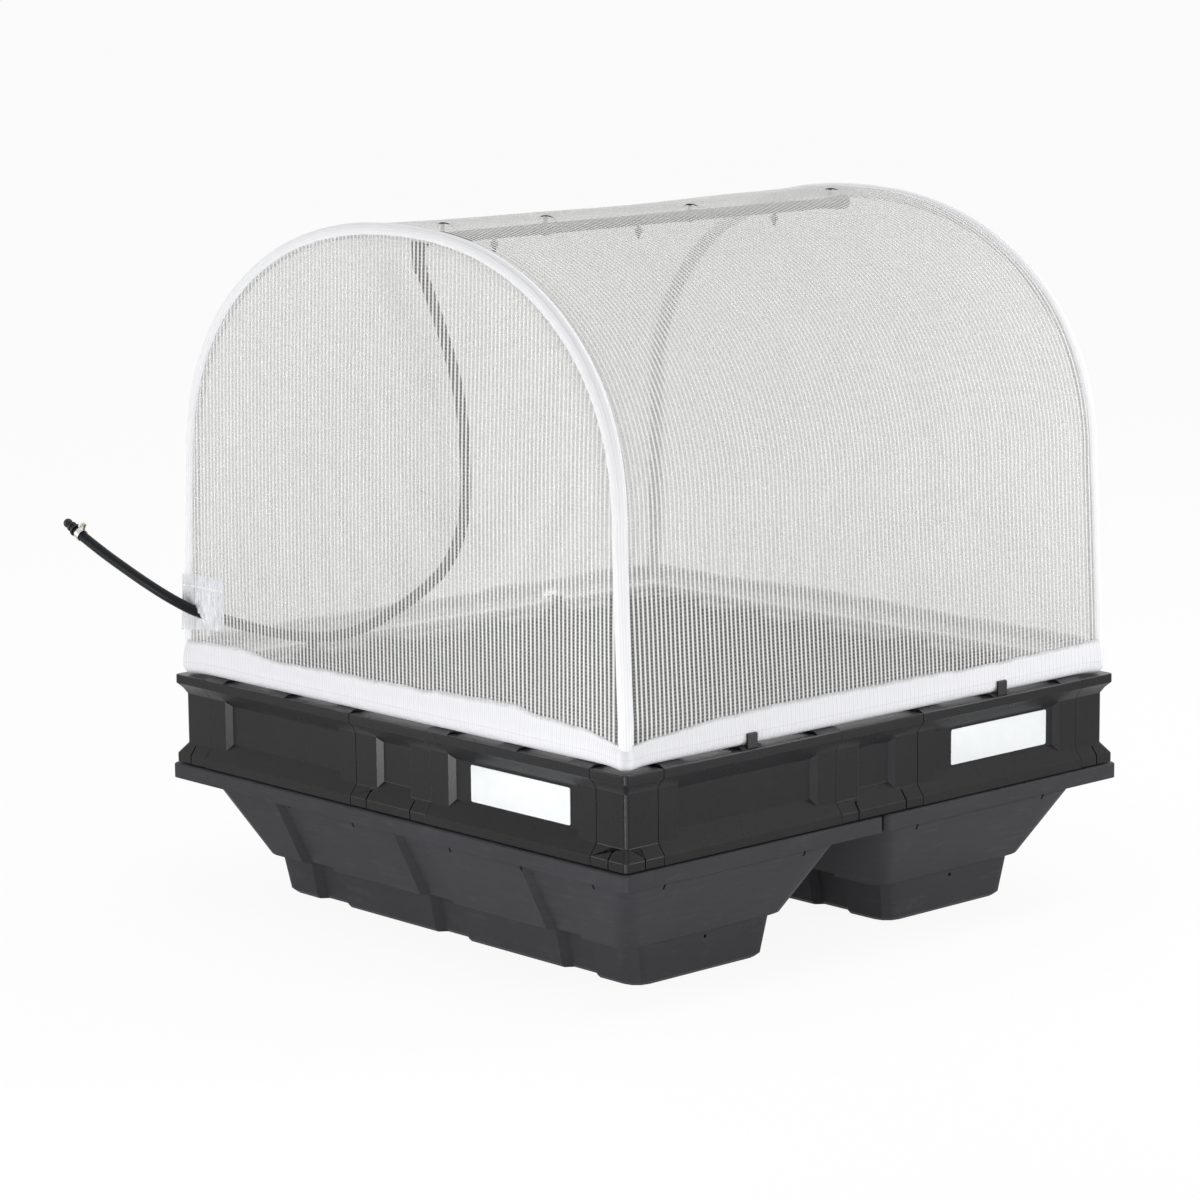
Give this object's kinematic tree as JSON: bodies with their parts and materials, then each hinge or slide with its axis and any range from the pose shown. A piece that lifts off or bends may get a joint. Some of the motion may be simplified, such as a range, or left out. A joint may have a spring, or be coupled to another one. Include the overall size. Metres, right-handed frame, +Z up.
{
  "type": "covered raised bed",
  "caption": "Square raised bed of clip-together panels on two self-watering troughs, under a net tunnel that tilts open, with a mist pipe and a feed hose.",
  "frame": {"origin": "on the floor under the middle of the bed", "axes": "+Z up, +X to the long side with the latch clips, -Y to the arched end with the hose; the cover hinges on the -X side"},
  "size_m": [1.2207, 1.0348, 1.0357],
  "materials": {
    "panel_plastic": "matt black moulded",
    "trough_plastic": "matt dark grey moulded",
    "tray_plastic": "matt black moulded",
    "clip_plastic": "satin black moulded",
    "frame_plastic": "satin white",
    "net_fabric": "white woven net",
    "hem_fabric": "white ribbed webbing",
    "clear_vinyl": "clear sheet",
    "hose_rubber": "black, satin",
    "clamp_steel": "bright"
  },
  "bodies": {
    "bed": {"front_trough": "trough_plastic", "front_tray": "tray_plastic", "back_trough": "trough_plastic", "back_tray": "tray_plastic", "front_panel_a": "panel_plastic", "front_panel_b": "panel_plastic", "front_joiner": "panel_plastic", "right_panel_a": "panel_plastic", "right_panel_b": "panel_plastic", "right_joiner": "panel_plastic", "back_panel_a": "panel_plastic", "back_panel_b": "panel_plastic", "back_joiner": "panel_plastic", "left_panel_a": "panel_plastic", "left_panel_b": "panel_plastic", "left_joiner": "panel_plastic", "corner_post_front_left": "panel_plastic", "corner_post_front_right": "panel_plastic", "corner_post_back_right": "panel_plastic", "corner_post_back_left": "panel_plastic", "latch_clip_1": "clip_plastic", "hinge_clip_1": "clip_plastic", "latch_clip_2": "clip_plastic", "hinge_clip_2": "clip_plastic"},
    "cover": {"left_rail": "frame_plastic", "right_rail": "frame_plastic", "front_rail": "frame_plastic", "back_rail": "frame_plastic", "fitting_front_left": "frame_plastic", "fitting_front_right": "frame_plastic", "fitting_back_right": "frame_plastic", "fitting_back_left": "frame_plastic", "front_hoop": "frame_plastic", "front_sleeve": "hem_fabric", "front_net": "net_fabric", "back_hoop": "frame_plastic", "back_sleeve": "hem_fabric", "back_net": "net_fabric", "canopy_net": "net_fabric", "hem": "hem_fabric", "hose_patch": "clear_vinyl", "mist_pipe": "hose_rubber", "pipe_plug": "clip_plastic", "pipe_elbow": "clip_plastic", "mist_nozzle_1": "clip_plastic", "mist_nozzle_2": "clip_plastic", "mist_nozzle_3": "clip_plastic", "ridge_tie_1": "clip_plastic", "ridge_tie_2": "clip_plastic", "ridge_tie_3": "clip_plastic", "ridge_tie_4": "clip_plastic", "feed_hose": "hose_rubber", "hose_clamp": "clamp_steel", "tap_connector": "clip_plastic"}
  },
  "joints": [
    {"name": "cover_hinge", "type": "hinge", "parent": "bed", "child": "cover", "pos_m": [-0.4745, 0, 0.3508], "axis": [0, -1, 0], "range_deg": [0, 85]}
  ]
}
